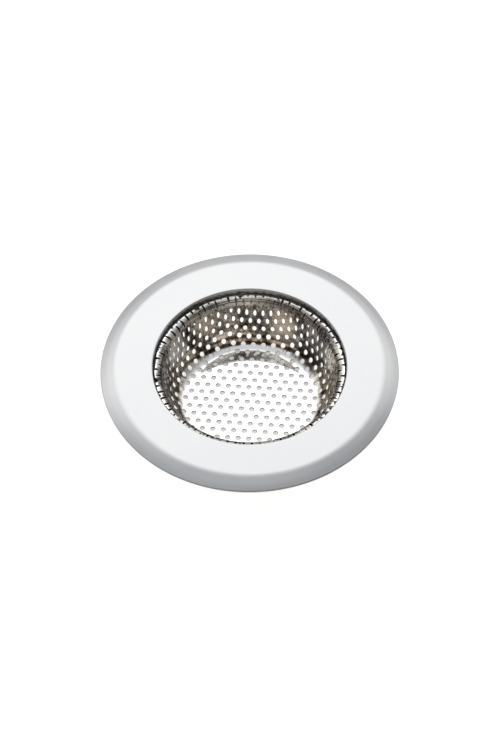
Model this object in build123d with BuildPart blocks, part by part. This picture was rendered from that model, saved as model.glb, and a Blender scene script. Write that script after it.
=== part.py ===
from build123d import *
from bisect import bisect
from math import atan2, cos, hypot, pi, radians, sin, sqrt, tan
import os

# A drop-in sink strainer: a wide rim with a drawn neck, and a deep-drawn
# perforated basket held in the neck. All lengths are in mm. The Z axis is the
# strainer's own axis, +Z points up out of the drain, and Z = 0 is the underside
# of the basket.

# Overall
rim_diameter = 112.5
overall_height = 23.0
mouth_diameter = 72.8

# Rim, one round of sheet: hem, bevel, flat, collar, neck and lip
rim_sheet = 0.45
bevel_width = 5.85  # from the apex of the bend to the outermost edge
bevel_angle = 16.0
bevel_bend = 8.0  # radius on the outside of the bend
crown_width = 2.95  # the outer part of the bevel, which falls more steeply
crown_angle = 21.0
crown_bend = 25.0
hem_width = 3.4
hem_bend = 0.1  # radius inside the fold of the hem
collar_bend = 0.2  # radius inside the bend from the flat down to the collar
neck_depth = 2.9  # from the top of the rim down to where the neck turns inwards
neck_bend = 0.8
lip_depth = 4.9  # down to where the lip starts
lip_bend = 0.3
lip_length = 1.85  # the lip lies against the basket's wall, and holds it
lip_clearance = 0.02

# Basket, drawn from a flat perforated round and trimmed
basket_sheet = 0.4
basket_drop = 2.45  # from the top of the rim down to the basket's edge
flare_diameter = 71.7  # over the trimmed edge
flare_land = 0.5  # level end of the flare, beyond its bend
flare_bend = 2.5  # radius of the bend from wall to flare, on the inside face
wall_lean = 10.85  # degrees from upright
corner_bend = 7.4  # radius of the bend from floor to wall, on the inside face

# Perforations, punched in the flat round before it is drawn
punch_reach = 1.6  # to each side of the sheet's middle, past the bend of the flare
hole_diameter = 2.0
hole_pitch = 4.0  # between neighbours, in staggered rows
pattern_turn = -5.3  # degrees about Z
pattern_shift = (-1.0, -1.0)  # the hole nearest to the axis
thinnest_web = 0.15  # a hole nearer than this to the trimmed edge runs out through it
run_out = 0.3  # how far past the edge such a hole is carried
shallowest_nick = 0.4  # a hole centred beyond the edge that bites less is left out
draw_thickening = 1.035  # how much the drawn wall gains in thickness
hole_yield = 2.2  # how much more the holes give way in drawing than the sheet does

# Heights and radii that follow from these
rim_radius = rim_diameter / 2
mouth_radius = mouth_diameter / 2
floor_middle = basket_sheet / 2
flare_middle = overall_height - basket_drop - basket_sheet / 2
flare_radius = flare_diameter / 2
lean = radians(wall_lean)
turn = pi / 2 - lean  # both bends of the basket turn by this angle
corner_radius = corner_bend + basket_sheet / 2
flare_bend_radius = flare_bend - basket_sheet / 2
wall_top_r = flare_radius - flare_land - flare_bend_radius * tan(turn / 2)
wall_foot_r = wall_top_r - (flare_middle - floor_middle) * tan(lean)
floor_radius = wall_foot_r - corner_radius * tan(turn / 2)


# ---------------------------------------------------------------- rim
# The section is drawn along the middle of the sheet, from the free edge of
# the hem, over the top, and down the neck to the free edge of the lip.

half_sheet = rim_sheet / 2
slope = radians(bevel_angle)
crown_slope = radians(crown_angle)
top_middle = overall_height - half_sheet
collar_radius = mouth_radius + half_sheet

bevel_apex_r = rim_radius - bevel_width
crown_r = rim_radius - crown_width
crown_z = top_middle - (crown_r - bevel_apex_r) * tan(slope)
hem_fold = hem_bend + half_sheet
hem_centre_r = rim_radius - hem_fold - half_sheet
foot_r = hem_centre_r + hem_fold * sin(crown_slope)
foot_z = crown_z - (foot_r - crown_r) * tan(crown_slope)
hem_centre_z = foot_z - hem_fold * cos(crown_slope)
hem_height = hem_centre_z - hem_fold

lip_gap = half_sheet + lip_clearance + basket_sheet / 2  # between the two sheets' middles


def lip_radius(z):
    """Radius of the middle of the lip at height z, beside the leaning wall."""
    return wall_top_r + (z - flare_middle) * tan(lean) + lip_gap / cos(lean)


neck_z = overall_height - neck_depth
lip_top_z = overall_height - lip_depth
lip_end_z = lip_top_z - lip_length * cos(lean)

with BuildPart() as rim:
    with BuildSketch(Plane.XZ):
        with BuildLine():
            Line((rim_radius - hem_width, hem_height), (hem_centre_r, hem_height))
            CenterArc((hem_centre_r, hem_centre_z), hem_fold, -90, 180 - crown_angle)
            FilletPolyline(
                (foot_r, foot_z),
                (crown_r, crown_z),
                (bevel_apex_r, top_middle),
                (collar_radius, top_middle),
                (collar_radius, neck_z),
                (lip_radius(lip_top_z), lip_top_z),
                (lip_radius(lip_end_z), lip_end_z),
                radius=[
                    crown_bend - half_sheet,
                    bevel_bend - half_sheet,
                    collar_bend + half_sheet,
                    neck_bend + half_sheet,
                    lip_bend + half_sheet,
                ],
            )
        trace(line_width=rim_sheet)
    revolve(axis=Axis.Z)
rim.part.label = "rim"


# ------------------------------------------------------------- basket
# The section again follows the middle of the sheet, from the axis outwards:
# floor, corner, leaning wall, flare.

with BuildLine() as basket_line:
    FilletPolyline(
        (0, floor_middle),
        (wall_foot_r, floor_middle),
        (wall_top_r, flare_middle),
        (flare_radius, flare_middle),
        radius=[corner_radius, flare_bend_radius],
    )

# Drawing keeps the area of the sheet, so a ring of the flat round lands where
# it encloses the same area of the basket. Going up the wall the round holes
# are squeezed sideways and pulled tall, more so than the sheet around them.


def drawn_profile(step=0.05):
    """Points (radius in the flat round, r, z) along the drawn sheet."""
    points = [(0.0, 0.0, floor_middle)]
    area = 0.0
    for edge in basket_line.line.edges().sort_by(Axis.X):
        count = max(2, round(edge.length / step))
        for i in range(1, count + 1):
            here = edge.position_at(i / count)
            _, last_r, last_z = points[-1]
            run = hypot(here.X - last_r, here.Y - last_z)
            gain = draw_thickening if here.X > floor_radius + step else 1.0
            area += pi * (here.X + last_r) * run * gain
            points.append((sqrt(area / pi), here.X, here.Y))
    return points


profile = drawn_profile()
flat_radii = [point[0] for point in profile]


def drawn_hole(flat_r):
    """Radius, height, climb and half sizes of a hole from flat_r in the round."""
    k = min(bisect(flat_radii, flat_r), len(profile) - 1)
    (flat_a, r_a, z_a), (flat_b, r_b, z_b) = profile[k - 1], profile[k]
    share = (flat_r - flat_a) / (flat_b - flat_a)
    r = r_a + share * (r_b - r_a)
    z = z_a + share * (z_b - z_a)
    climb = atan2(z_b - z_a, r_b - r_a)
    pull = hypot(r_b - r_a, z_b - z_a) / (flat_b - flat_a)
    half_width = hole_diameter / 2 * (1 + hole_yield * (r / flat_r - 1))
    half_height = hole_diameter / 2 * (1 + hole_yield * (pull - 1))
    return r, z, climb, half_width, half_height


def is_punched(flat_r):
    """Whether a hole centred at flat_r lies in the sheet or bites into its edge."""
    r, _, _, _, half_height = drawn_hole(flat_r)
    return r - half_height < flare_radius - shallowest_nick


def punched_holes():
    """Centres of the holes in the flat round, row by row."""
    row_gap = hole_pitch * sqrt(3) / 2
    rows = int(flat_radii[-1] / row_gap) + 2
    turned = Location(pattern_shift, pattern_turn)
    for row in range(-rows, rows + 1):
        for place in range(-2 * rows, 2 * rows + 1):
            spot = turned * Location(((place + row / 2) * hole_pitch, row * row_gap))
            centre = spot.position
            if is_punched(hypot(centre.X, centre.Y)):
                yield centre.X, centre.Y


def drawn_punch(x, y):
    """An oval punch, square to the drawn sheet where the hole at x, y lands."""
    flat_r = hypot(x, y)
    r, z, climb, half_width, half_height = drawn_hole(flat_r)
    # from the hole's centre to the upper and lower corner of the trimmed edge
    level = (flare_radius - r) * cos(climb)
    upper = level + (flare_middle + basket_sheet / 2 - z) * sin(climb)
    lower = level + (flare_middle - basket_sheet / 2 - z) * sin(climb)
    lengthening = 0
    if lower - thinnest_web < half_height < upper + run_out:
        lengthening = (upper + run_out - half_height) / 2
    outward = Vector(x, y, 0) / flat_r
    uphill = outward * cos(climb) + Vector(0, 0, sin(climb))
    face = Plane(
        origin=outward * r + Vector(0, 0, z) + uphill * lengthening,
        x_dir=Vector(-y, x, 0) / flat_r,
        z_dir=Vector(0, 0, cos(climb)) - outward * sin(climb),
    )
    oval = face.offset(-punch_reach) * Ellipse(half_width, half_height + lengthening)
    return extrude(oval, amount=2 * punch_reach)


flat_reach = floor_radius - hole_diameter / 2
floor_holes = [(x, y) for x, y in punched_holes() if hypot(x, y) <= flat_reach]
punches = [drawn_punch(x, y) for x, y in punched_holes() if hypot(x, y) > flat_reach]

with BuildPart() as basket:
    with BuildSketch(Plane.XZ):
        trace(basket_line.line, line_width=basket_sheet)
    revolve(axis=Axis.Z)
    with BuildSketch():
        with Locations(*floor_holes):
            Circle(hole_diameter / 2)
    extrude(amount=basket_sheet, mode=Mode.SUBTRACT)
    add(punches, mode=Mode.SUBTRACT, clean=False)
basket.part.label = "basket"


# -------------------------------------------------------------- files
os.makedirs("parts", exist_ok=True)
for piece in (rim, basket):
    export_step(piece.part, f"parts/{piece.part.label}.step", write_pcurves=False)
    print(piece.part.label, "volume", round(piece.part.volume, 1), "mm3")
print("holes", len(floor_holes) + len(punches))
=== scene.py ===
from math import atan2, cos, hypot, pi, radians, sin, sqrt, tan

import bmesh
import bpy
from mathutils import Matrix, Vector


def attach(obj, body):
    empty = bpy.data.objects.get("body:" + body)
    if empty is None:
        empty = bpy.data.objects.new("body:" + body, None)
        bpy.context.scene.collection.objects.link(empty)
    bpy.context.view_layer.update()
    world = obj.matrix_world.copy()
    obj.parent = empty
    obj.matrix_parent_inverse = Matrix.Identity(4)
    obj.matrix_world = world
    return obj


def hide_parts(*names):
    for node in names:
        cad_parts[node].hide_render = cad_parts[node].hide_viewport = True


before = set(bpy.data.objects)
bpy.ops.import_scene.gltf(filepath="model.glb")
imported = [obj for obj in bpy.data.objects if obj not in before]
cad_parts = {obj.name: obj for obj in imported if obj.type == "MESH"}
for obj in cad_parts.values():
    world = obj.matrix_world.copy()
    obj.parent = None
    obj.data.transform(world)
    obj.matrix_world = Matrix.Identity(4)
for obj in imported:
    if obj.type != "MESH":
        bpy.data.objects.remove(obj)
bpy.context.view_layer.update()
mm = 0.001


# A number or vector field in a node tree, so that sizes can be written as sums.
class Field:
    def __init__(self, tree, socket):
        self.tree = tree
        self.socket = socket

    def calc(self, operation, *others, swap=False):
        values = [self, *others]
        if swap:
            values.reverse()
        node = addNode(self.tree, "ShaderNodeMath", enumerate(values), operation=operation)
        return Field(self.tree, node.outputs[0])

    def __add__(self, other):
        return self.calc("ADD", other)

    def __sub__(self, other):
        return self.calc("SUBTRACT", other)

    def __rsub__(self, other):
        return self.calc("SUBTRACT", other, swap=True)

    def __mul__(self, other):
        return self.calc("MULTIPLY", other)

    def __truediv__(self, other):
        return self.calc("DIVIDE", other)

    def __rtruediv__(self, other):
        return self.calc("DIVIDE", other, swap=True)

    def __mod__(self, other):
        return self.calc("FLOORED_MODULO", other)

    def __gt__(self, other):
        return self.calc("GREATER_THAN", other)

    def __lt__(self, other):
        return self.calc("LESS_THAN", other)

    __radd__ = __add__
    __rmul__ = __mul__

    def sine(self):
        return self.calc("SINE")

    def cosine(self):
        return self.calc("COSINE")

    def between(self, low, high):
        return self.calc("MAXIMUM", low).calc("MINIMUM", high)


# Fills a node's inputs with fields, links or plain values.
def fillInputs(tree, node, inputs):
    for key, value in dict(inputs).items():
        if isinstance(value, Field):
            value = value.socket
        if isinstance(value, bpy.types.NodeSocket):
            tree.links.new(value, node.inputs[key])
        else:
            node.inputs[key].default_value = value


# Adds a node and sets its own options before its inputs.
def addNode(tree, kind, inputs=(), **options):
    node = tree.nodes.new(kind)
    for name, value in options.items():
        setattr(node, name, value)
    fillInputs(tree, node, inputs)
    return node


def makeField(tree, kind, inputs=(), output=0, **options):
    return Field(tree, addNode(tree, kind, inputs, **options).outputs[output])


def splitVector(tree, vector):
    node = addNode(tree, "ShaderNodeSeparateXYZ", {0: vector})
    return [Field(tree, socket) for socket in node.outputs]


def joinVector(tree, x, y, z):
    return makeField(tree, "ShaderNodeCombineXYZ", {0: x, 1: y, 2: z})


# Rises softly from start to end while the value goes from low to high.
def softStep(tree, value, low, high, start=0.0, end=1.0):
    return makeField(
        tree,
        "ShaderNodeMapRange",
        {0: value, 1: low, 2: high, 3: start, 4: end},
        interpolation_type="SMOOTHSTEP",
    )


def objectPlace(tree):
    return makeField(tree, "ShaderNodeTexCoord", output="Object")


def addNoise(tree, place, scale, **inputs):
    return makeField(tree, "ShaderNodeTexNoise", {"Vector": place, "Scale": scale, **inputs})


def readAttribute(tree, name):
    return makeField(tree, "ShaderNodeAttribute", output="Fac", attribute_name=name)


cameraView = {
    "target": (0.125 * mm, -3.41 * mm, 20.66 * mm),
    "elevation": 52.97,  # degrees above the table
    "distance": 677 * mm,
    "roll": -0.52,
    "lens": 86.5,
    "nearest": 10 * mm,  # nothing closer than this is drawn
}


def placeCamera(view):
    tilt = radians(90 - view["elevation"])
    turned = Matrix.Rotation(tilt, 4, "X") @ Matrix.Rotation(radians(view["roll"]), 4, "Z")
    away = turned @ Vector((0, 0, view["distance"]))
    camera = bpy.data.objects.new("camera", bpy.data.cameras.new("camera"))
    camera.matrix_world = Matrix.Translation(Vector(view["target"]) + away) @ turned
    camera.data.lens = view["lens"]
    camera.data.clip_start = view["nearest"]
    bpy.context.scene.collection.objects.link(camera)
    bpy.context.scene.camera = camera


placeCamera(cameraView)
bpy.context.scene.view_settings.view_transform = "Standard"
print("camera placed")

# The sky as the angle about the X axis, from the horizon behind the strainer over
# the top to the horizon in front, and the colour there.
skyLight = {
    "strength": 1.5,
    "arc": [
        (0, (0.38, 0.38, 0.38)),
        (15, (0.46, 0.46, 0.46)),
        (24, (0.56, 0.56, 0.565)),
        (32, (0.76, 0.76, 0.76)),
        (40, (0.98, 0.98, 0.98)),
        (46, (1.20, 1.195, 1.185)),
        (54, (1.15, 1.145, 1.135)),
        (59, (0.98, 0.98, 0.98)),
        (67, (0.66, 0.675, 0.69)),
        (74, (0.46, 0.475, 0.49)),
        (82, (0.415, 0.43, 0.445)),
        (102, (0.50, 0.51, 0.52)),
        (105, (0.04, 0.035, 0.03)),
        (122, (0.04, 0.035, 0.03)),
        (128, (0.42, 0.37, 0.31)),
        (139, (0.40, 0.34, 0.28)),
        (147, (0.06, 0.05, 0.04)),
        (180, (0.05, 0.042, 0.034)),
    ],
    "tilt": 6.0,  # degrees of arc for a direction wholly to the right
    "sideFall": 1.35,  # how much the light falls off to both sides
    "rightFall": 0.15,  # and how much more to the right
    "horizon": (0.34, 0.34, 0.34),  # the low part of the sky in front
    "horizonTop": 19.0,  # degrees up where it begins
    "horizonFull": 8.0,
}


def addRamp(tree, factor, stops):
    node = addNode(tree, "ShaderNodeValToRGB", {0: factor})
    ramp = node.color_ramp
    while len(ramp.elements) < len(stops):
        ramp.elements.new(0.5)
    for element, (place, colour) in zip(ramp.elements, stops):
        element.position = place
        element.color = (*colour, 1)
    return Field(tree, node.outputs[0])


# Mixes two colours, each of them a field or plain red, green and blue.
def mixColours(tree, factor, first, second):
    first, second = (c if isinstance(c, Field) else (*c, 1) for c in (first, second))
    inputs = {0: factor, 6: first, 7: second}
    return makeField(tree, "ShaderNodeMix", inputs, output=2, data_type="RGBA")


def lightStudio(light):
    world = bpy.data.worlds.new("studio")
    world.use_nodes = True
    bpy.context.scene.world = world
    tree = world.node_tree
    tree.nodes.clear()
    direction = addNode(tree, "ShaderNodeTexCoord").outputs["Generated"]
    x, y, z = splitVector(tree, direction)
    arc = z.calc("ARCTAN2", y) * (180 / pi) + x * light["tilt"]
    sky = addRamp(tree, arc / 180, [(place / 180, colour) for place, colour in light["arc"]])
    fall = (1.0 - x * light["rightFall"]) / (x * x * light["sideFall"] + 1.0)
    sky = makeField(tree, "ShaderNodeVectorMath", {0: sky, 3: fall}, operation="SCALE")
    elevation = z.calc("ARCSINE") * (180 / pi)
    low = softStep(tree, elevation, light["horizonTop"], light["horizonFull"])
    frontSide = (0.0 - y).between(0.0, 1.0)
    sky = mixColours(tree, low * frontSide, sky, light["horizon"])
    # the camera itself sees plain white behind the table
    seen = makeField(tree, "ShaderNodeLightPath", output="Is Camera Ray")
    shown = mixColours(tree, seen, sky, (1, 1, 1))
    background = addNode(tree, "ShaderNodeBackground", {0: shown, 1: light["strength"]})
    addNode(tree, "ShaderNodeOutputWorld", {0: background.outputs[0]})


floorShape = {
    "halfWidth": 3.0,
    "drop": 0.02 * mm,  # keeps it out of the plane of the basket's foot
    "colour": (0.8, 0.8, 0.8),
    "roughness": 0.9,
    "glow": 0.75,  # the table glows, a painted light as if lit from below, and glows less under the basket's foot as a painted shadow
    "footGlow": 0.30,
    "glowStarts": 25 * mm,  # from the axis
    "glowFull": 31 * mm,
}


def layFloor(shape):
    half, drop = shape["halfWidth"], shape["drop"]
    sides = ((-1, -1), (1, -1), (1, 1), (-1, 1))
    mesh = bpy.data.meshes.new("table")
    mesh.from_pydata([(x * half, y * half, -drop) for x, y in sides], [], [(0, 1, 2, 3)])
    table = bpy.data.objects.new("table", mesh)
    bpy.context.scene.collection.objects.link(table)
    material = bpy.data.materials.new("paleTable")
    material.use_nodes = True
    tree = material.node_tree
    shader = tree.nodes["Principled BSDF"]
    shader.inputs["Base Color"].default_value = (*shape["colour"], 1)
    shader.inputs["Roughness"].default_value = shape["roughness"]
    shader.inputs["Specular IOR Level"].default_value = 0.0
    shader.inputs["Emission Color"].default_value = (1, 1, 1, 1)
    x, y, z = splitVector(tree, objectPlace(tree))
    radius = (x * x + y * y).calc("SQRT")
    # less glow under the basket's foot: a painted shadow
    glows = (shape["footGlow"], shape["glow"])
    glow = softStep(tree, radius, shape["glowStarts"], shape["glowFull"], *glows)
    tree.links.new(glow.socket, shader.inputs["Emission Strength"])
    mesh.materials.append(material)


lightStudio(skyLight)
layFloor(floorShape)
print("table and light ready")


def startGroup(name, inputs, outputs, kind="ShaderNodeTree"):
    tree = bpy.data.node_groups.new(name, kind)
    for label, socket, value in inputs:
        made = tree.interface.new_socket(label, in_out="INPUT", socket_type=socket)
        if value is not None:
            made.default_value = value
    for label, socket in outputs:
        tree.interface.new_socket(label, in_out="OUTPUT", socket_type=socket)
    start = tree.nodes.new("NodeGroupInput")
    end = tree.nodes.new("NodeGroupOutput")
    return tree, start, end


# Fine lines left by polishing on a turning spindle, as a height from 0 to 1.
def makeTurnedGrain():
    tree, start, end = startGroup(
        "turnedGrain",
        [
            ("Lines per Metre", "NodeSocketFloat", 4000.0),
            ("Lines per Turn", "NodeSocketFloat", 5.0),
        ],
        [("Height", "NodeSocketFloat")],
    )
    x, y, z = splitVector(tree, objectPlace(tree))
    radius = (x * x + y * y).calc("SQRT")
    across = (radius - z) * Field(tree, start.outputs["Lines per Metre"])
    # the direction as a point on a circle keeps the pattern closed where a turn ends
    along = Field(tree, start.outputs["Lines per Turn"])
    place = joinVector(tree, x / radius * along, y / radius * along, across)
    noise = addNoise(tree, place, 1.0, Detail=3.0)
    tree.links.new(noise.socket, end.inputs["Height"])
    return tree


# Soft dull patches, from 0 to 1, as handling and water leave them.
def makeHandling():
    tree, start, end = startGroup(
        "handling",
        [("Scale", "NodeSocketFloat", 60.0), ("Spread", "NodeSocketFloat", 0.2)],
        [("Mask", "NodeSocketFloat")],
    )
    scale, spread = (Field(tree, start.outputs[label]) for label in ("Scale", "Spread"))
    noise = addNoise(tree, objectPlace(tree), scale, Detail=4.0, Roughness=0.6)
    mask = softStep(tree, noise, 0.5 - spread, 0.5 + spread)
    tree.links.new(mask.socket, end.inputs["Mask"])
    return tree


# Streaks that run up the wall, from 0 to 1, as draw marks run. Where it is low the wall is painted
# dark: partly stain, partly painted dark reflection.
def makeDrawStreaksAndPaintedReflections():
    tree, start, end = startGroup(
        "drawStreaksAndPaintedReflections",
        [
            ("Streaks per Radian", "NodeSocketFloat", 26.0),
            ("Streaks per Metre", "NodeSocketFloat", 380.0),
            ("Broad Scale", "NodeSocketFloat", 0.15),
            ("Clear", "NodeSocketFloat", 0.60),
            ("Full", "NodeSocketFloat", 0.82),
        ],
        [("Mask", "NodeSocketFloat")],
    )
    x, y, z = splitVector(tree, objectPlace(tree))
    radius = (x * x + y * y + 1e-9).calc("SQRT")
    along = Field(tree, start.outputs["Streaks per Radian"])
    up = z * Field(tree, start.outputs["Streaks per Metre"])
    place = joinVector(tree, x / radius * along, y / radius * along, up)
    fine = addNoise(tree, place, 1.0, Detail=4.0, Roughness=0.6)
    broad = addNoise(tree, place, start.outputs["Broad Scale"], Detail=2.0)
    mixed = fine * 0.6 + broad * 0.8
    mask = softStep(tree, mixed, start.outputs["Clear"], start.outputs["Full"])
    tree.links.new(mask.socket, end.inputs["Mask"])
    return tree


# Where the sheet was bent or cut it is rubbed brighter. The meshes carry "rubbed".
def makeRubbedEdge():
    tree, start, end = startGroup(
        "rubbedEdge",
        [("Breakup", "NodeSocketFloat", 900.0)],
        [("Mask", "NodeSocketFloat")],
    )
    noise = addNoise(tree, objectPlace(tree), start.outputs["Breakup"])
    mask = readAttribute(tree, "rubbed") * noise.calc("MULTIPLY_ADD", 0.8, 0.4)
    tree.links.new(mask.between(0.0, 1.0).socket, end.inputs["Mask"])
    return tree


def addGroup(tree, group, **values):
    node = addNode(tree, "ShaderNodeGroup", node_tree=group)
    for label, value in values.items():
        node.inputs[label.replace("_", " ")].default_value = value
    return Field(tree, node.outputs[0])


turnedGrain = makeTurnedGrain()
handling = makeHandling()
drawStreaksAndPaintedReflections = makeDrawStreaksAndPaintedReflections()
rubbedEdge = makeRubbedEdge()

satinFinish = {
    "dark": (0.595, 0.60, 0.61),
    "light": (0.64, 0.645, 0.65),
    "rubbed": (0.70, 0.70, 0.70),
    "paintedCreviceShade": (0.05, 0.05, 0.052),  # painted shade: the neck where it lies in the dark beside the flare
    "patchScale": 45.0,
    "patchSpread": 0.22,
    "grainPerMetre": 5200.0,
    "grainPerTurn": 7.0,
    "breakup": 700.0,  # of the rubbed edges
    "roughness": 0.25,
    "roughnessPatches": 0.04,
    "roughnessGrain": 0.05,
    "rubbedRoughness": -0.08,
    "grainHeight": 0.0005 * mm,
    "waveHeight": 0.015 * mm,
    "waveScale": 50.0,
}

polishedFinish = {
    "mill": (0.97, 0.955, 0.93),  # the flat foot
    "millDull": (0.89, 0.875, 0.855),
    # dark streaks on the wall, partly stain and partly painted dark reflection
    "stainAndPaintedReflection": (0.11, 0.088, 0.072),
    "drawnSteel": (0.88, 0.79, 0.68),  # the wall between its dark streaks
    # painted shade on the flare, and the painted highlight in its bright sectors
    "flarePaintedShade": (0.10, 0.095, 0.09),
    "flarePaintedHighlight": (0.86, 0.85, 0.84),
    "paintedHighlight": ((96, 13), (143, 10)),  # sectors of painted highlight on the flare: their middle and reach, in degrees
    "rubbed": (0.84, 0.835, 0.82),
    "holeWallShade": (0.09, 0.088, 0.085),  # painted shade on the walls inside the holes
    "patchScale": 140.0,
    "patchSpread": 0.2,
    "breakup": 1200.0,
    "roughness": 0.05,
    "roughnessPatches": 0.05,
    "drawnRoughness": 0.05,
    "shineRoughness": 0.38,
    "streakTurns": 22.0,  # about this many streaks to a radian
    "streakRise": 330.0,  # and to a metre of height
    "waveHeight": 0.055 * mm,
    "waveScale": 330.0,
    "peelHeight": 0.006 * mm,
    "peelScale": 1500.0,
}


def startSteel(name):
    material = bpy.data.materials.new(name)
    material.use_nodes = True
    tree = material.node_tree
    shader = tree.nodes["Principled BSDF"]
    shader.inputs["Metallic"].default_value = 1.0
    return material, tree, shader


# Turns heights, each with its depth in metres, into one normal.
def addBumps(tree, *layers):
    below = {}
    for height, depth in layers:
        normal = makeField(tree, "ShaderNodeBump", {"Height": height, "Distance": depth} | below)
        below = {"Normal": normal}
    return normal


def joinSteel(tree, shader, colour, roughness, normal):
    tree.links.new(colour.socket, shader.inputs["Base Color"])
    tree.links.new(roughness.socket, shader.inputs["Roughness"])
    tree.links.new(normal.socket, shader.inputs["Normal"])


def makeSatinSteel(finish):
    material, tree, shader = startSteel("satinSteel")
    patches = addGroup(tree, handling, Scale=finish["patchScale"], Spread=finish["patchSpread"])
    grain = addGroup(
        tree,
        turnedGrain,
        Lines_per_Metre=finish["grainPerMetre"],
        Lines_per_Turn=finish["grainPerTurn"],
    )
    rubbed = addGroup(tree, rubbedEdge, Breakup=finish["breakup"])
    plain = mixColours(tree, patches, finish["dark"], finish["light"])
    worn = mixColours(tree, rubbed, plain, finish["rubbed"])
    # the neck beside the flare gets a painted shade
    colour = mixColours(tree, readAttribute(tree, "paintedCreviceShade"), worn, finish["paintedCreviceShade"])
    roughness = (
        finish["roughness"]
        + patches * finish["roughnessPatches"]
        + grain * finish["roughnessGrain"]
        + rubbed * finish["rubbedRoughness"]
    )
    wave = addNoise(tree, objectPlace(tree), finish["waveScale"], Detail=1.0)
    normal = addBumps(tree, (wave, finish["waveHeight"]), (grain, finish["grainHeight"]))
    joinSteel(tree, shader, colour, roughness, normal)
    return material


# From 0 to 1, a painted highlight in sectors of the flare, given as their middle and reach in
# degrees.
def makePaintedHighlight(tree, sectors):
    x, y, z = splitVector(tree, objectPlace(tree))
    azimuth = y.calc("ARCTAN2", x) * (180 / pi)
    total = None
    for middle, reach in sectors:
        away = (azimuth - middle) / reach
        share = 1.0 / (away * away * away * away + 1.0)
        total = share if total is None else total + share
    return total.between(0.0, 1.0)


def makePolishedSteel(finish):
    material, tree, shader = startSteel("polishedSteel")
    patches = addGroup(tree, handling, Scale=finish["patchScale"], Spread=finish["patchSpread"])
    rubbed = addGroup(tree, rubbedEdge, Breakup=finish["breakup"])
    streaks = addGroup(
        tree,
        drawStreaksAndPaintedReflections,
        Streaks_per_Radian=finish["streakTurns"],
        Streaks_per_Metre=finish["streakRise"],
    )
    # the flat foot kept its mill finish, and only the drawn wall is uneven and streaked dark,
    # partly by stain and partly by painted dark reflection
    drawn, flare, holeWallShade = (readAttribute(tree, name) for name in ("drawn", "flare", "holeWallShade"))
    mill = mixColours(tree, patches, finish["mill"], finish["millDull"])
    # the dark streaks are partly stain and partly painted dark reflection
    wall = mixColours(tree, streaks, finish["stainAndPaintedReflection"], finish["drawnSteel"])
    # the flare is painted dark as shade, and light as a painted highlight in a few sectors
    paintedHighlight = makePaintedHighlight(tree, finish["paintedHighlight"])
    flarePaintedLight = mixColours(tree, paintedHighlight, finish["flarePaintedShade"], finish["flarePaintedHighlight"])
    flareSteel = mixColours(tree, streaks * 0.5, flarePaintedLight, finish["drawnSteel"])
    plain = mixColours(tree, flare, mixColours(tree, drawn, mill, wall), flareSteel)
    worn = mixColours(tree, rubbed, plain, finish["rubbed"])
    # the walls inside the holes get a painted shade
    colour = mixColours(tree, holeWallShade, worn, finish["holeWallShade"])
    roughness = (
        finish["roughness"]
        + patches * finish["roughnessPatches"]
        + drawn * finish["drawnRoughness"]
        + flare * paintedHighlight * streaks * finish["shineRoughness"]
    )
    place = objectPlace(tree)
    wave = addNoise(tree, place, finish["waveScale"], Detail=2.0)
    peel = addNoise(tree, place, finish["peelScale"], Detail=3.0)
    normal = addBumps(tree, (wave * drawn, finish["waveHeight"]), (peel, finish["peelHeight"]))
    joinSteel(tree, shader, colour, roughness, normal)
    return material


satinSteel = makeSatinSteel(satinFinish)
polishedSteel = makePolishedSteel(polishedFinish)
print("finishes ready")


rimShape = {
    "radius": 56.25 * mm,
    "height": 23.0 * mm,
    "sheet": 0.45 * mm,
    "mouthRadius": 36.4 * mm,
    "bevelWidth": 5.85 * mm,
    "bevelAngle": radians(16),
    "bevelBend": 8.0 * mm,
    "crownWidth": 2.95 * mm,
    "crownAngle": radians(21),
    "crownBend": 25.0 * mm,
    "hemWidth": 3.4 * mm,
    "hemBend": 0.1 * mm,
    "collarBend": 0.2 * mm,
    "neckDepth": 2.9 * mm,
    "neckBend": 0.8 * mm,
    "lipDepth": 4.9 * mm,
    "lipBend": 0.3 * mm,
    "lipLength": 1.85 * mm,
    "lipClearance": 0.02 * mm,
    "creviceRise": (0.4 * mm, -0.6 * mm),  # painted shade from none to full, past the flare's middle
    "creviceReach": (35.1 * mm, 35.7 * mm),  # and from none to full by radius
    "turns": 240,
    "longestFace": 2.5 * mm,
    "support": 0.3 * mm,  # a ring this near to each end of a straight run keeps it flat
    "sharpest": radians(40),  # steeper edges than this stay sharp
    "tightBend": 1 * mm,  # bends tighter than this are rubbed brightest
    "tightRub": 1.0,
    "wideRub": 0.15,
}

basketShape = {
    "sheet": 0.4 * mm,
    "drop": 2.45 * mm,
    "flareRadius": 35.85 * mm,
    "flareLand": 0.5 * mm,
    "flareBend": 2.5 * mm,
    "wallLean": radians(10.85),
    "cornerBend": 7.4 * mm,
    "holeDiameter": 2.0 * mm,
    "holePitch": 4.0 * mm,
    "patternTurn": radians(-5.3),
    "patternShift": (-1.0 * mm, -1.0 * mm),
    "shallowestNick": 0.4 * mm,
    "drawThickening": 1.035,
    "holeYield": 2.2,  # how much more the holes give way in drawing than the sheet
    "holeLip": 0.07 * mm,  # chamfer at the top of each hole
    "holeSides": 18,
    "waviness": 0.03 * mm,
    "waveScale": 190.0,
    "seed": 4.0,
    "sectionSteps": 1400,
    "rows": 35,  # of cells, enough for the whole round
    "plainReach": 0.6,  # in hole pitches, how far a cell reaches from its centre
    "weld": 0.004 * mm,
    "drawnRise": (0.30, 0.55),  # in corner radii past the floor
    "flareRise": (1.10, 0.92),  # in bend radii before the flare
    "edgeRise": (-0.6, 0.1),  # in widths of the flare's level land
    "edgeRub": 1.6,
    "sharpest": radians(28),
}

flareMiddle = rimShape["height"] - basketShape["drop"] - basketShape["sheet"] / 2
flareTurn = pi / 2 - basketShape["wallLean"]
flareBendMiddle = basketShape["flareBend"] - basketShape["sheet"] / 2
flareStart = basketShape["flareRadius"] - basketShape["flareLand"]
wallTop = flareStart - flareBendMiddle * tan(flareTurn / 2)


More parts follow.
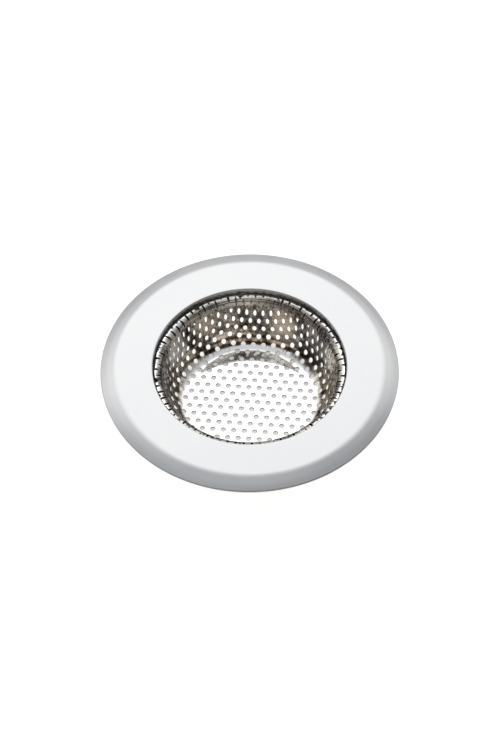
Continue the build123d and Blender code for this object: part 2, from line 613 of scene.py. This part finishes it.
# Walks along the middle of the sheet. A move is a straight run and its length, or
# a bend with its radius, its angle and the angle of one step. Each station is
# radius, height, heading and how far the sheet is rubbed there.
def walkSection(start, heading, moves, shape):
    r, z = start
    stations = [(r, z, heading, 0.0)]
    for kind, *size in moves:
        if kind == "run":
            length = size[0]
            support = min(shape["support"], length / 3)
            pieces = max(1, round((length - 2 * support) / shape["longestFace"]))
            inside = [support + (length - 2 * support) * i / pieces for i in range(pieces + 1)]
            for reach in (*inside, length):
                stations.append((r + reach * cos(heading), z + reach * sin(heading), heading, 0.0))
            r, z = stations[-1][:2]
        else:
            radius, angle, step = size
            side = 1 if angle > 0 else -1
            centre = (r - side * radius * sin(heading), z + side * radius * cos(heading))
            pieces = max(2, round(abs(angle) / step))
            rubbed = shape["tightRub"] if radius < shape["tightBend"] else shape["wideRub"]
            for i in range(1, pieces + 1):
                turned = heading + angle * i / pieces
                place = (
                    centre[0] + side * radius * sin(turned),
                    centre[1] - side * radius * cos(turned),
                )
                stations.append((*place, turned, rubbed * sin(pi * i / pieces)))
            heading += angle
            r, z = stations[-1][:2]
    return stations


def rimSection(shape):
    half = shape["sheet"] / 2
    slope, crownSlope = shape["bevelAngle"], shape["crownAngle"]
    top = shape["height"] - half
    hemFold = shape["hemBend"] + half
    hemCentre = shape["radius"] - hemFold - half
    apex = shape["radius"] - shape["bevelWidth"]
    crown = shape["radius"] - shape["crownWidth"]
    foot = hemCentre + hemFold * sin(crownSlope)
    crownDrop = (crown - apex) * tan(slope)
    footDrop = crownDrop + (foot - crown) * tan(crownSlope)
    hemHeight = top - footDrop - hemFold * cos(crownSlope) - hemFold
    crownBend, bevelBend = shape["crownBend"] - half, shape["bevelBend"] - half
    crownTangent = crownBend * tan((crownSlope - slope) / 2)
    bevelTangent = bevelBend * tan(slope / 2)
    collarBend = shape["collarBend"] + half
    collarRadius = shape["mouthRadius"] + half
    # the neck: in from the collar to the lip, which lies against the basket's wall
    lean = basketShape["wallLean"]
    neckHeight = shape["height"] - shape["neckDepth"]
    lipHeight = shape["height"] - shape["lipDepth"]
    lipGap = (half + shape["lipClearance"] + basketShape["sheet"] / 2) / cos(lean)
    lipRadius = wallTop + (lipHeight - flareMiddle) * tan(lean) + lipGap
    funnel = atan2(neckHeight - lipHeight, collarRadius - lipRadius)
    funnelLength = hypot(neckHeight - lipHeight, collarRadius - lipRadius)
    neckBend, lipBend = shape["neckBend"] + half, shape["lipBend"] + half
    neckTurn, lipTurn = pi / 2 - funnel, pi / 2 - lean - funnel
    neckTangent, lipTangent = neckBend * tan(neckTurn / 2), lipBend * tan(lipTurn / 2)
    moves = [
        ("run", hemCentre - (shape["radius"] - shape["hemWidth"])),
        ("bend", hemFold, pi - crownSlope, radians(15)),
        ("run", (foot - crown) / cos(crownSlope) - crownTangent),
        ("bend", crownBend, crownSlope - slope, radians(1.25)),
        ("run", (crown - apex) / cos(slope) - crownTangent - bevelTangent),
        ("bend", bevelBend, slope, radians(2)),
        ("run", apex - collarRadius - bevelTangent - collarBend),
        ("bend", collarBend, pi / 2, radians(15)),
        ("run", top - neckHeight - collarBend - neckTangent),
        ("bend", neckBend, -neckTurn, radians(11)),
        ("run", funnelLength - neckTangent - lipTangent),
        ("bend", lipBend, lipTurn, radians(15)),
        ("run", shape["lipLength"] - lipTangent),
    ]
    return walkSection((shape["radius"] - shape["hemWidth"], hemHeight), 0.0, moves, shape)


# How dark the painted shade is in the gap between the neck and the basket's flare, from 0 to 1.
def creviceShade(r, z, shape):
    if r > shape["mouthRadius"] + shape["sheet"]:
        return 0.0
    top, full = (flareMiddle + reach for reach in shape["creviceRise"])
    near, far = shape["creviceReach"]
    down = min(1.0, max(0.0, (top - z) / (top - full)))
    out = min(1.0, max(0.0, (r - near) / (far - near)))
    return down * out


def buildRim(shape):
    stations = rimSection(shape)
    half = shape["sheet"] / 2
    right = [(r + half * sin(h), z - half * cos(h), rub) for r, z, h, rub in stations]
    left = [(r - half * sin(h), z + half * cos(h), rub) for r, z, h, rub in stations]
    outline = right + left[::-1]
    count, turns = len(outline), shape["turns"]
    points, faces = [], []
    for k in range(turns):
        angle = 2 * pi * k / turns
        points += [(r * cos(angle), r * sin(angle), z) for r, z, rub in outline]
        here, ahead = k * count, (k + 1) % turns * count
        for i in range(count):
            j = (i + 1) % count
            faces.append((here + i, ahead + i, ahead + j, here + j))
    mesh = bpy.data.meshes.new("rimSteel")
    mesh.from_pydata(points, [], faces)
    rubbed = mesh.attributes.new("rubbed", "FLOAT", "POINT")
    rubbed.data.foreach_set("value", [point[2] for point in outline] * turns)
    # painted shade for the gap beside the flare, by radius and height
    shades = [creviceShade(r, z, shape) for r, z, rub in outline]
    paintedCreviceShade = mesh.attributes.new("paintedCreviceShade", "FLOAT", "POINT")
    paintedCreviceShade.data.foreach_set("value", shades * turns)
    mesh.materials.append(satinSteel)
    mesh.shade_smooth()
    mesh.set_sharp_from_angle(angle=shape["sharpest"])
    rim = bpy.data.objects.new("rimSteel", mesh)
    bpy.context.scene.collection.objects.link(rim)
    return rim


def volumeOf(mesh):
    mesh.calc_loop_triangles()
    total = 0.0
    for triangle in mesh.loop_triangles:
        a, b, c = (mesh.vertices[i].co for i in triangle.vertices)
        total += a.dot(b.cross(c)) / 6
    return total


def tellSize(label, mesh):
    volume = volumeOf(mesh) / mm**3
    print(label, "built:", len(mesh.polygons), "faces,", round(volume, 1), "mm3")


rim = buildRim(rimShape)
tellSize("rim", rim.data)


# A flat round of perforated sheet is laid out in six-sided cells, one to a hole,
# and then drawn over the section: floor, corner, wall, bend and flare.
def basketSection(shape):
    corner = shape["cornerBend"] + shape["sheet"] / 2
    floorMiddle = shape["sheet"] / 2
    wallFoot = wallTop - (flareMiddle - floorMiddle) * tan(shape["wallLean"])
    wallRun = hypot(wallTop - wallFoot, flareMiddle - floorMiddle)
    return {
        "Floor Radius": wallFoot - corner * tan(flareTurn / 2),
        "Corner Radius": corner,
        "Turn": flareTurn,
        "Wall Length": wallRun - (corner + flareBendMiddle) * tan(flareTurn / 2),
        "Bend Radius": flareBendMiddle,
        "Flare Land": shape["flareLand"],
    }


def setPosition(tree, geometry, place):
    node = addNode(tree, "GeometryNodeSetPosition", {"Geometry": geometry, "Position": place})
    return node.outputs[0]


def storeValue(tree, geometry, label, value, kind="FLOAT"):
    node = addNode(
        tree,
        "GeometryNodeStoreNamedAttribute",
        {"Geometry": geometry, "Name": label, "Value": value},
        data_type=kind,
        domain="POINT",
    )
    return node.outputs[0]


def readStored(tree, label, kind="FLOAT"):
    return makeField(tree, "GeometryNodeInputNamedAttribute", {"Name": label}, data_type=kind)


def mergeNear(tree, geometry, distance):
    inputs = {"Geometry": geometry, "Distance": distance}
    return addNode(tree, "GeometryNodeMergeByDistance", inputs).outputs[0]


def readPlace(tree):
    x, y, z = splitVector(tree, makeField(tree, "GeometryNodeInputPosition"))
    return x, y, z, (x * x + y * y).calc("SQRT")


def chooseByIndex(tree, index, values):
    node = addNode(tree, "GeometryNodeIndexSwitch", {"Index": index}, data_type="FLOAT")
    while len(node.index_switch_items) < len(values):
        node.index_switch_items.new()
    fillInputs(tree, node, enumerate(values, start=1))
    return Field(tree, node.outputs[0])


# The drawn section and the flat round that it comes from. Each step along the sheet
# has its r, height and climb, and its place on a line by its radius in the round.
class DrawnSection:
    def __init__(self, tree, given, steps):
        self.tree = tree
        floorRadius, corner = given["Floor Radius"], given["Corner Radius"]
        turn, bend = given["Turn"], given["Bend Radius"]
        wall, land = given["Wall Length"], given["Flare Land"]
        wallStart = floorRadius + corner * turn
        bendStart = wallStart + wall
        landStart = bendStart + bend * turn
        pathStep = (landStart + land) / (steps - 1)
        along = makeField(tree, "GeometryNodeInputIndex") * pathStep
        cornerTurned = ((along - floorRadius) / corner).between(0.0, turn)
        bendTurned = ((along - bendStart) / bend).between(0.0, turn)
        wallDone = (along - wallStart).between(0.0, wall)
        r = (
            along.calc("MINIMUM", floorRadius)
            + corner * cornerTurned.sine()
            + turn.cosine() * wallDone
            + bend * (turn.sine() - (turn - bendTurned).sine())
            + (along - landStart).calc("MAXIMUM", 0.0)
        )
        z = (
            given["Sheet"] / 2
            + corner * (1.0 - cornerTurned.cosine())
            + turn.sine() * wallDone
            + bend * ((turn - bendTurned).cosine() - turn.cosine())
        )
        self.place = joinVector(tree, r, z, cornerTurned - bendTurned)
        self.landRadius = floorRadius + (corner + bend) * turn.sine() + turn.cosine() * wall

        # drawing keeps the sheet's area, so each step adds its own ring to the round
        gain = 1.0 + (given["Thickening"] - 1.0) * (along > floorRadius)
        ring = {"Value": r * pathStep * gain * 2}
        summed = addNode(tree, "GeometryNodeAccumulateField", ring, data_type="FLOAT")
        leading, trailing = (Field(tree, summed.outputs[i]) for i in ("Leading", "Trailing"))
        flatRadius = ((leading + trailing) / 2).calc("MAXIMUM", 0.0).calc("SQRT")
        line = addNode(tree, "GeometryNodeCurvePrimitiveLine", {"End": (1.0, 0.0, 0.0)})
        counted = {"Curve": line.outputs[0], "Count": steps}
        stepped = addNode(tree, "GeometryNodeResampleCurve", counted).outputs[0]
        self.line = setPosition(tree, stepped, joinVector(tree, flatRadius, 0.0, 0.0))
        self.blankRadius = makeField(tree, "GeometryNodeCurveLength", {"Curve": self.line})

    # r, height and climb where the sheet had this radius in the flat round
    def sample(self, flatRadius):
        node = addNode(
            self.tree,
            "GeometryNodeSampleCurve",
            {"Curves": self.line, "Value": self.place, "Length": flatRadius},
            data_type="FLOAT_VECTOR",
            mode="LENGTH",
        )
        return splitVector(self.tree, node.outputs["Value"])


def hexagonReach(angle, pitch):
    slant = (angle + pi / 6) % (pi / 3) - pi / 6
    return pitch / 2 / slant.cosine()


# One cell: a hexagon round its hole, top and underside in one strip of rings.
def makeHoleCell(tree, given, rings):
    sheet, lip, hole = given["Sheet"], given["Hole Lip"], given["Hole Diameter"] / 2
    sides = given["Hole Sides"]
    spokes = sides + 1.0
    index = makeField(tree, "GeometryNodeInputIndex")
    angle = (index % spokes + 0.5) * (-2 * pi) / sides
    ringNumber = (index / spokes).calc("FLOOR")
    hexagon = hexagonReach(angle, given["Hole Pitch"])
    ringValues = {
        # reach, height, then how far it is rubbed, gives way with the hole, and gets the painted
        # shade of the hole's wall
        "hexagonTop": (hexagon, sheet / 2, 0.0, 0.0, 0.0),
        "middleTop": ((hole + hexagon) / 2, sheet / 2, 0.0, 0.5, 0.0),
        "lipTop": (hole + lip, sheet / 2, 0.6, 1.0, 0.0),
        "lipFoot": (hole, sheet / 2 - lip, 0.8, 1.0, 0.6),
        "holeFoot": (hole, sheet / -2, 0.0, 1.0, 1.0),
        "hexagonFoot": (hexagon, sheet / -2, 0.0, 0.0, 0.0),
    }
    reach, height, rubbed, give, holeWallShade = (
        chooseByIndex(tree, ringNumber, values) for values in zip(*map(ringValues.get, rings))
    )
    strip = {"Vertices X": len(rings), "Vertices Y": spokes}
    cell = addNode(tree, "GeometryNodeMeshGrid", strip).outputs["Mesh"]
    for label, value in (("rubbed", rubbed), ("give", give), ("holeWallShade", holeWallShade)):
        cell = storeValue(tree, cell, label, value)
    place = joinVector(tree, reach * angle.cosine(), reach * angle.sine(), height)
    return setPosition(tree, cell, place)


# A cell without a hole, for the edge of the round.
def makePlainCell(tree, given):
    sheet, sides = given["Sheet"], given["Hole Sides"]
    disc = addNode(tree, "GeometryNodeMeshCircle", {"Vertices": sides}, fill_type="NGON")
    angle = (makeField(tree, "GeometryNodeInputIndex") + 0.5) * (2 * pi) / sides
    reach = hexagonReach(angle, given["Hole Pitch"])
    place = joinVector(tree, reach * angle.cosine(), reach * angle.sine(), sheet / 2)
    top = setPosition(tree, disc.outputs[0], place)
    down = {"Geometry": top, "Translation": joinVector(tree, 0.0, 0.0, 0.0 - sheet)}
    foot = addNode(tree, "GeometryNodeTransform", down)
    footTurned = addNode(tree, "GeometryNodeFlipFaces", {"Mesh": foot.outputs[0]})
    cell = addNode(tree, "GeometryNodeJoinGeometry")
    for side in (top, footTurned.outputs[0]):
        tree.links.new(side, cell.inputs[0])
    return cell.outputs[0]


# The flat round in staggered rows of cells, each of which keeps its own centre.
def layCells(tree, given, section, shape):
    pitch, rows = given["Hole Pitch"], shape["rows"]
    index = makeField(tree, "GeometryNodeInputIndex")
    position = makeField(tree, "GeometryNodeInputPosition")
    row = (index / rows).calc("FLOOR") - rows // 2
    column = index % rows - rows // 2
    rowGap = pitch * (sqrt(3) / 2)
    centre = joinVector(tree, (column + (row % 2) / 2) * pitch, row * rowGap, 0.0)
    turnedCentre = makeField(
        tree,
        "ShaderNodeVectorRotate",
        {"Vector": centre, "Angle": given["Pattern Turn"]},
        rotation_type="Z_AXIS",
    )
    shifted = makeField(tree, "ShaderNodeVectorMath", {0: turnedCentre, 1: given["Pattern Shift"]})
    points = addNode(tree, "GeometryNodePoints", {"Count": rows * rows, "Position": shifted})
    centred = storeValue(tree, points.outputs[0], "cellCentre", position, "FLOAT_VECTOR")

    distance = makeField(tree, "ShaderNodeVectorMath", {0: position}, output=1, operation="LENGTH")
    edgeRadius = (section.landRadius + given["Flare Land"]) * given["Thickening"]
    edgePull = section.blankRadius / edgeRadius
    halfHeight = given["Hole Diameter"] / 2 * (1.0 + given["Hole Yield"] * (edgePull - 1.0))
    nickReach = (halfHeight - given["Shallowest Nick"]) / edgePull
    punched = distance < section.blankRadius + nickReach
    reach = pitch * shape["plainReach"]
    plain = (distance < section.blankRadius + reach) - punched
    # cells across a bend have one ring more
    climbs = [section.sample(place)[2] for place in (distance + reach, distance - reach)]
    bent = punched * ((climbs[0] - climbs[1]).calc("ABSOLUTE") > 0.001)
    flatRings = ["hexagonTop", "lipTop", "lipFoot", "holeFoot", "hexagonFoot"]
    bentRings = ["hexagonTop", "middleTop", *flatRings[1:]]
    choices = (
        (makeHoleCell(tree, given, flatRings), punched - bent),
        (makeHoleCell(tree, given, bentRings), bent),
        (makePlainCell(tree, given), plain),
    )
    turned = joinVector(tree, 0.0, 0.0, given["Pattern Turn"])
    cells = addNode(tree, "GeometryNodeJoinGeometry")
    for cell, chosen in choices:
        placed = addNode(
            tree,
            "GeometryNodeInstanceOnPoints",
            {"Points": centred, "Selection": chosen, "Instance": cell, "Rotation": turned},
        )
        tree.links.new(placed.outputs[0], cells.inputs[0])
    return addNode(tree, "GeometryNodeRealizeInstances", {"Geometry": cells.outputs[0]}).outputs[0]


# Round holes give way more than the sheet: narrower round the basket, taller up it.
def squeezeHoles(tree, given, section, blank):
    tiny = 1e-7
    x, y, z, flatReach = readPlace(tree)
    centreX, centreY, centreZ = splitVector(tree, readStored(tree, "cellCentre", "FLOAT_VECTOR"))
    give, yielding = readStored(tree, "give"), given["Hole Yield"]
    centreReach = (centreX * centreX + centreY * centreY).calc("SQRT").calc("MAXIMUM", tiny)
    hoop = (section.sample(centreReach)[0] / centreReach).calc("MINIMUM", 1.0)
    pull = 1.0 / (hoop * given["Thickening"])
    hoopShare = (1.0 - (1.0 - hoop) * yielding) / hoop
    taller = 1.0 + (pull - 1.0).calc("MAXIMUM", 0.0) * yielding
    pullShare = taller / pull.calc("MAXIMUM", 1.0)
    outX, outY = centreX / centreReach, centreY / centreReach
    offsetX, offsetY = x - centreX, y - centreY
    radial = (offsetX * outX + offsetY * outY) * (1.0 + give * (pullShare - 1.0))
    across = (offsetY * outX - offsetX * outY) * (1.0 + give * (hoopShare - 1.0))
    squeezedX = centreX + radial * outX - across * outY
    squeezedY = centreY + radial * outY + across * outX
    return setPosition(tree, blank, joinVector(tree, squeezedX, squeezedY, z))


# At the edge of the round, what lies past it goes and what reaches past it is
# brought back. Then the edge is closed from top to underside.
def trimEdge(tree, given, section, blank, shape):
    justPast, nearTop = 0.001 * mm, 0.002 * mm
    sheet, blankRadius = given["Sheet"], section.blankRadius
    x, y, z, flatReach = readPlace(tree)
    pastShare = makeField(
        tree,
        "GeometryNodeFieldOnDomain",
        {"Value": flatReach > blankRadius + justPast},
        data_type="FLOAT",
        domain="FACE",
    )
    wholly = {"Geometry": blank, "Selection": pastShare > 0.99}
    inside = addNode(tree, "GeometryNodeDeleteGeometry", wholly, domain="FACE").outputs[0]
    kept = blankRadius / flatReach.calc("MAXIMUM", blankRadius)
    trimmed = setPosition(tree, inside, joinVector(tree, x * kept, y * kept, z))
    facesAtEdge = makeField(tree, "GeometryNodeInputMeshEdgeNeighbors")
    rimmed = addNode(
        tree,
        "GeometryNodeExtrudeMesh",
        {
            "Mesh": mergeNear(tree, trimmed, shape["weld"]),
            "Selection": (facesAtEdge < 1.5) * (z > sheet / 2 - nearTop),
            "Offset": joinVector(tree, 0.0, 0.0, 0.0 - sheet),
            "Offset Scale": 1.0,
        },
        mode="EDGES",
    )
    return mergeNear(tree, rimmed.outputs[0], shape["weld"])


# Drawing: each point goes to its place on the section, square to the sheet.
def drawRound(tree, given, section, blank, shape):
    x, y, z, flatReach = readPlace(tree)
    r, height, climb = section.sample(flatReach)
    side = r - z * climb.sine()
    lift = height + z * climb.cosine()
    safeReach = flatReach.calc("MAXIMUM", 1e-7)
    outX, outY = x / safeReach, y / safeReach

    corner, bend, land = given["Corner Radius"], given["Bend Radius"], given["Flare Land"]
    drawn = softStep(tree, r, *(given["Floor Radius"] + corner * k for k in shape["drawnRise"]))
    flare = softStep(tree, r, *(section.landRadius - bend * k for k in shape["flareRise"]))
    edge = softStep(tree, r, *(section.landRadius + land * k for k in shape["edgeRise"]))
    worn = readStored(tree, "rubbed").calc("MAXIMUM", edge * shape["edgeRub"])
    marked = blank
    for label, value in (("drawn", drawn), ("flare", flare * (1.0 - edge)), ("rubbed", worn)):
        marked = storeValue(tree, marked, label, value)

    # the wall is a little uneven, and the floor is not
    drawnPlace = joinVector(tree, outX * side, outY * side, lift)
    scaled = {0: drawnPlace, 3: shape["waveScale"]}
    noise = makeField(
        tree,
        "ShaderNodeTexNoise",
        {
            "Vector": makeField(tree, "ShaderNodeVectorMath", scaled, operation="SCALE"),
            "W": given["Seed"],
            "Scale": 1.0,
            "Detail": 2.0,
        },
        noise_dimensions="4D",
    )
    push = (noise - 0.5) * 2 * given["Waviness"] * softStep(tree, climb, 0.0, 0.5)
    wavedR = side - push * climb.sine()
    wavedZ = lift + push * climb.cosine()
    return setPosition(tree, marked, joinVector(tree, outX * wavedR, outY * wavedR, wavedZ))


def makePerforatedBasket(shape):
    sizes = ["Floor Radius", "Corner Radius", "Turn", "Wall Length", "Bend Radius", "Flare Land"]
    sizes += ["Sheet", "Hole Diameter", "Hole Lip", "Hole Pitch", "Pattern Turn"]
    sizes += ["Shallowest Nick", "Hole Yield", "Thickening", "Waviness", "Seed"]
    tree, start, end = startGroup(
        "perforatedBasket",
        [("Geometry", "NodeSocketGeometry", None)]
        + [(label, "NodeSocketFloat", 0.0) for label in sizes]
        + [
            ("Pattern Shift", "NodeSocketVector", None),
            ("Hole Sides", "NodeSocketInt", 18),
            ("Steel", "NodeSocketMaterial", None),
        ],
        [("Geometry", "NodeSocketGeometry")],
        kind="GeometryNodeTree",
    )
    given = {socket.name: Field(tree, socket) for socket in start.outputs}
    section = DrawnSection(tree, given, shape["sectionSteps"])
    blank = layCells(tree, given, section, shape)
    blank = squeezeHoles(tree, given, section, blank)
    blank = trimEdge(tree, given, section, blank, shape)
    drawn = drawRound(tree, given, section, blank, shape)
    smooth = addNode(tree, "GeometryNodeSetShadeSmooth", {"Geometry": drawn}, domain="FACE")
    sharp = makeField(tree, "GeometryNodeInputMeshEdgeAngle") > shape["sharpest"]
    creased = addNode(
        tree,
        "GeometryNodeSetShadeSmooth",
        {"Geometry": smooth.outputs[0], "Selection": sharp, "Shade Smooth": False},
        domain="EDGE",
    )
    real = addNode(tree, "GeometryNodeRealizeInstances", {"Geometry": creased.outputs[0]})
    steel = {"Geometry": real.outputs[0], "Material": given["Steel"]}
    coated = addNode(tree, "GeometryNodeSetMaterial", steel)
    tree.links.new(coated.outputs[0], end.inputs["Geometry"])
    return tree


# Where a hole runs out through the edge, small gaps are left in its corners. The
# loops that holes_fill leaves open are closed with one face each.
def closeNotches(mesh):
    shell = bmesh.new()
    shell.from_mesh(mesh)
    for fill in (bmesh.ops.holes_fill, bmesh.ops.edgeloop_fill):
        gaps = [edge for edge in shell.edges if edge.is_boundary]
        if gaps:
            fill(shell, edges=gaps)
    bmesh.ops.recalc_face_normals(shell, faces=shell.faces)
    shell.to_mesh(mesh)
    shell.free()


def buildBasket(shape):
    tree = makePerforatedBasket(shape)
    values = basketSection(shape) | {
        "Sheet": shape["sheet"],
        "Hole Diameter": shape["holeDiameter"],
        "Hole Lip": shape["holeLip"],
        "Hole Pitch": shape["holePitch"],
        "Pattern Turn": shape["patternTurn"],
        "Pattern Shift": (*shape["patternShift"], 0.0),
        "Shallowest Nick": shape["shallowestNick"],
        "Hole Yield": shape["holeYield"],
        "Thickening": shape["drawThickening"],
        "Waviness": shape["waviness"],
        "Seed": shape["seed"],
        "Hole Sides": shape["holeSides"],
        "Steel": polishedSteel,
    }
    holder = bpy.data.objects.new("basketSheet", bpy.data.meshes.new("basketSheet"))
    bpy.context.scene.collection.objects.link(holder)
    modifier = holder.modifiers.new("perforatedBasket", "NODES")
    modifier.node_group = tree
    for item in tree.interface.items_tree:
        if item.in_out == "INPUT" and item.name in values:
            modifier[item.identifier] = values[item.name]
    evaluated = holder.evaluated_get(bpy.context.evaluated_depsgraph_get())
    mesh = bpy.data.meshes.new_from_object(evaluated)
    closeNotches(mesh)
    # the tree leaves an empty slot before the steel's own
    mesh.materials.clear()
    mesh.materials.append(polishedSteel)
    holder.modifiers.clear()
    holder.data = mesh
    mesh.name = "basketSheet"
    return holder


basket = buildBasket(basketShape)
tellSize("basket", basket.data)

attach(rim, "root")
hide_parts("rim")
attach(basket, "root")
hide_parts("basket")
print("pieces joined to the frame")
